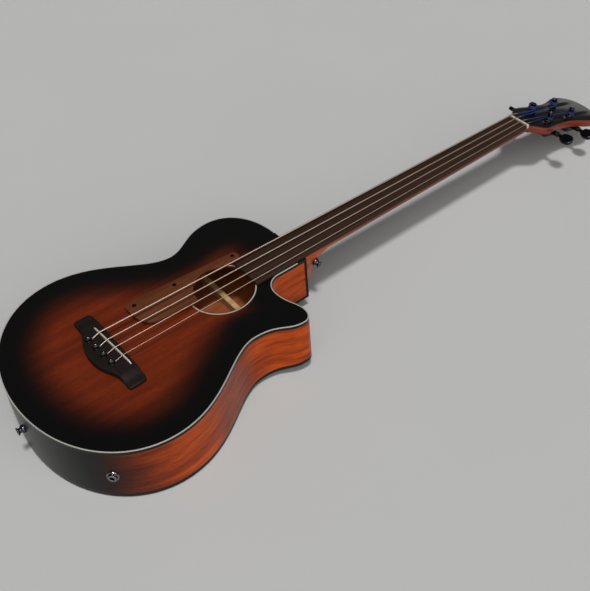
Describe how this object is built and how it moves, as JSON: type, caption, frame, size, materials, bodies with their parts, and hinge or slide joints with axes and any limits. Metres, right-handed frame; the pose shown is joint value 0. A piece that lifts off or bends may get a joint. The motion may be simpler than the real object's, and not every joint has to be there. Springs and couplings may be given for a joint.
{
  "type": "acoustic bass guitar",
  "caption": "Fretless acoustic bass guitar with a rounded cutaway body, arched back, round sound hole, belly bridge, tilted headstock and geared tuners.",
  "frame": {"origin": "lowest point of the arched back, straight below the middle of the saddle", "axes": "+X from the tail to the headstock, +Y towards the side of the lowest string, +Z out of the soundboard"},
  "size_m": [1.1618, 0.3664, 0.12],
  "materials": {
    "burst_mahogany": "gloss sunburst lacquer over mahogany",
    "bare_mahogany": "unfinished mahogany",
    "spruce": "unfinished spruce",
    "cream_binding": "polished celluloid",
    "black_binding": "polished black plastic",
    "walnut": "oiled dark walnut, satin",
    "rest_wood": "oiled walnut, satin",
    "maple": "unfinished maple",
    "bone": "polished bone",
    "piezo_strip": "braided shield",
    "black_plastic": "moulded, polished",
    "bronze_wire": "bronze round-wound wire",
    "black_screw": "black oxide",
    "neck_mahogany": "satin lacquer over mahogany",
    "steel": "plain steel",
    "black_lacquer": "black gloss lacquer",
    "chrome": "polished chrome",
    "black_chrome": "black chrome plating",
    "post_metal": "black chrome plating",
    "black_knob": "polished black"
  },
  "bodies": {
    "instrument": {"soundboard": "burst_mahogany", "soundhole_ring": "cream_binding", "sides": "burst_mahogany", "binding_top": "cream_binding", "binding_back": "black_binding", "back_plate": "burst_mahogany", "neck_block": "bare_mahogany", "lining_top": "spruce", "lining_back": "spruce", "tail_block": "bare_mahogany", "brace_x_bass": "spruce", "brace_x_treble": "spruce", "upper_brace": "spruce", "tone_bar": "spruce", "back_brace_1": "spruce", "back_brace_2": "spruce", "back_brace_3": "spruce", "back_brace_4": "spruce", "bridge": "walnut", "pickup_strip": "piezo_strip", "saddle": "bone", "bridge_plate": "maple", "bridge_pin_e": "black_plastic", "bridge_pin_a": "black_plastic", "bridge_pin_d": "black_plastic", "bridge_pin_g": "black_plastic", "string_e": "bronze_wire", "string_a": "bronze_wire", "string_d": "bronze_wire", "string_g": "bronze_wire", "finger_rest": "rest_wood", "finger_rest_screw_1": "black_screw", "finger_rest_screw_2": "black_screw", "finger_rest_screw_3": "black_screw", "fretboard": "walnut", "nut": "bone", "neck": "neck_mahogany", "truss_rod": "steel", "heel_cap": "black_binding", "headstock_veneer": "black_lacquer", "strap_button_heel": "chrome", "strap_button_tail": "chrome", "output_jack": "chrome", "jack_nut": "steel", "tuner_housing_1": "black_chrome", "tuner_bushing_1": "chrome", "tuner_housing_2": "black_chrome", "tuner_bushing_2": "chrome", "tuner_housing_3": "black_chrome", "tuner_bushing_3": "chrome", "tuner_housing_4": "black_chrome", "tuner_bushing_4": "chrome"},
    "knob_e": {"tuner_knob_1": "black_knob"},
    "post_e": {"tuner_post_1": "post_metal"},
    "knob_a": {"tuner_knob_2": "black_knob"},
    "post_a": {"tuner_post_2": "post_metal"},
    "knob_d": {"tuner_knob_3": "black_knob"},
    "post_d": {"tuner_post_3": "post_metal"},
    "knob_g": {"tuner_knob_4": "black_knob"},
    "post_g": {"tuner_post_4": "post_metal"}
  },
  "joints": [
    {"name": "knob_e_turn", "type": "hinge", "parent": "instrument", "child": "knob_e", "pos_m": [0.87666, 0.02, 0.06493], "axis": [0, 1, 0], "continuous": true},
    {"name": "post_e_turn", "type": "hinge", "parent": "instrument", "child": "post_e", "pos_m": [0.87201, 0.02, 0.0865], "axis": [0.2798, 0, 0.96], "continuous": true},
    {"name": "knob_a_turn", "type": "hinge", "parent": "instrument", "child": "knob_a", "pos_m": [0.93561, 0.02, 0.04775], "axis": [0, 1, 0], "continuous": true},
    {"name": "post_a_turn", "type": "hinge", "parent": "instrument", "child": "post_a", "pos_m": [0.93095, 0.02, 0.06932], "axis": [0.2798, 0, 0.96], "continuous": true},
    {"name": "knob_d_turn", "type": "hinge", "parent": "instrument", "child": "knob_d", "pos_m": [0.93561, -0.02, 0.04775], "axis": [0, 1, 0], "continuous": true},
    {"name": "post_d_turn", "type": "hinge", "parent": "instrument", "child": "post_d", "pos_m": [0.93095, -0.02, 0.06932], "axis": [0.2798, 0, 0.96], "continuous": true},
    {"name": "knob_g_turn", "type": "hinge", "parent": "instrument", "child": "knob_g", "pos_m": [0.87666, -0.02, 0.06493], "axis": [0, 1, 0], "continuous": true},
    {"name": "post_g_turn", "type": "hinge", "parent": "instrument", "child": "post_g", "pos_m": [0.87201, -0.02, 0.0865], "axis": [0.2798, 0, 0.96], "continuous": true}
  ],
  "couplings": [
    {"joint": "post_e_turn", "follows": "knob_e_turn", "ratio": -0.066667},
    {"joint": "post_a_turn", "follows": "knob_a_turn", "ratio": -0.066667},
    {"joint": "post_d_turn", "follows": "knob_d_turn", "ratio": -0.066667},
    {"joint": "post_g_turn", "follows": "knob_g_turn", "ratio": -0.066667}
  ]
}
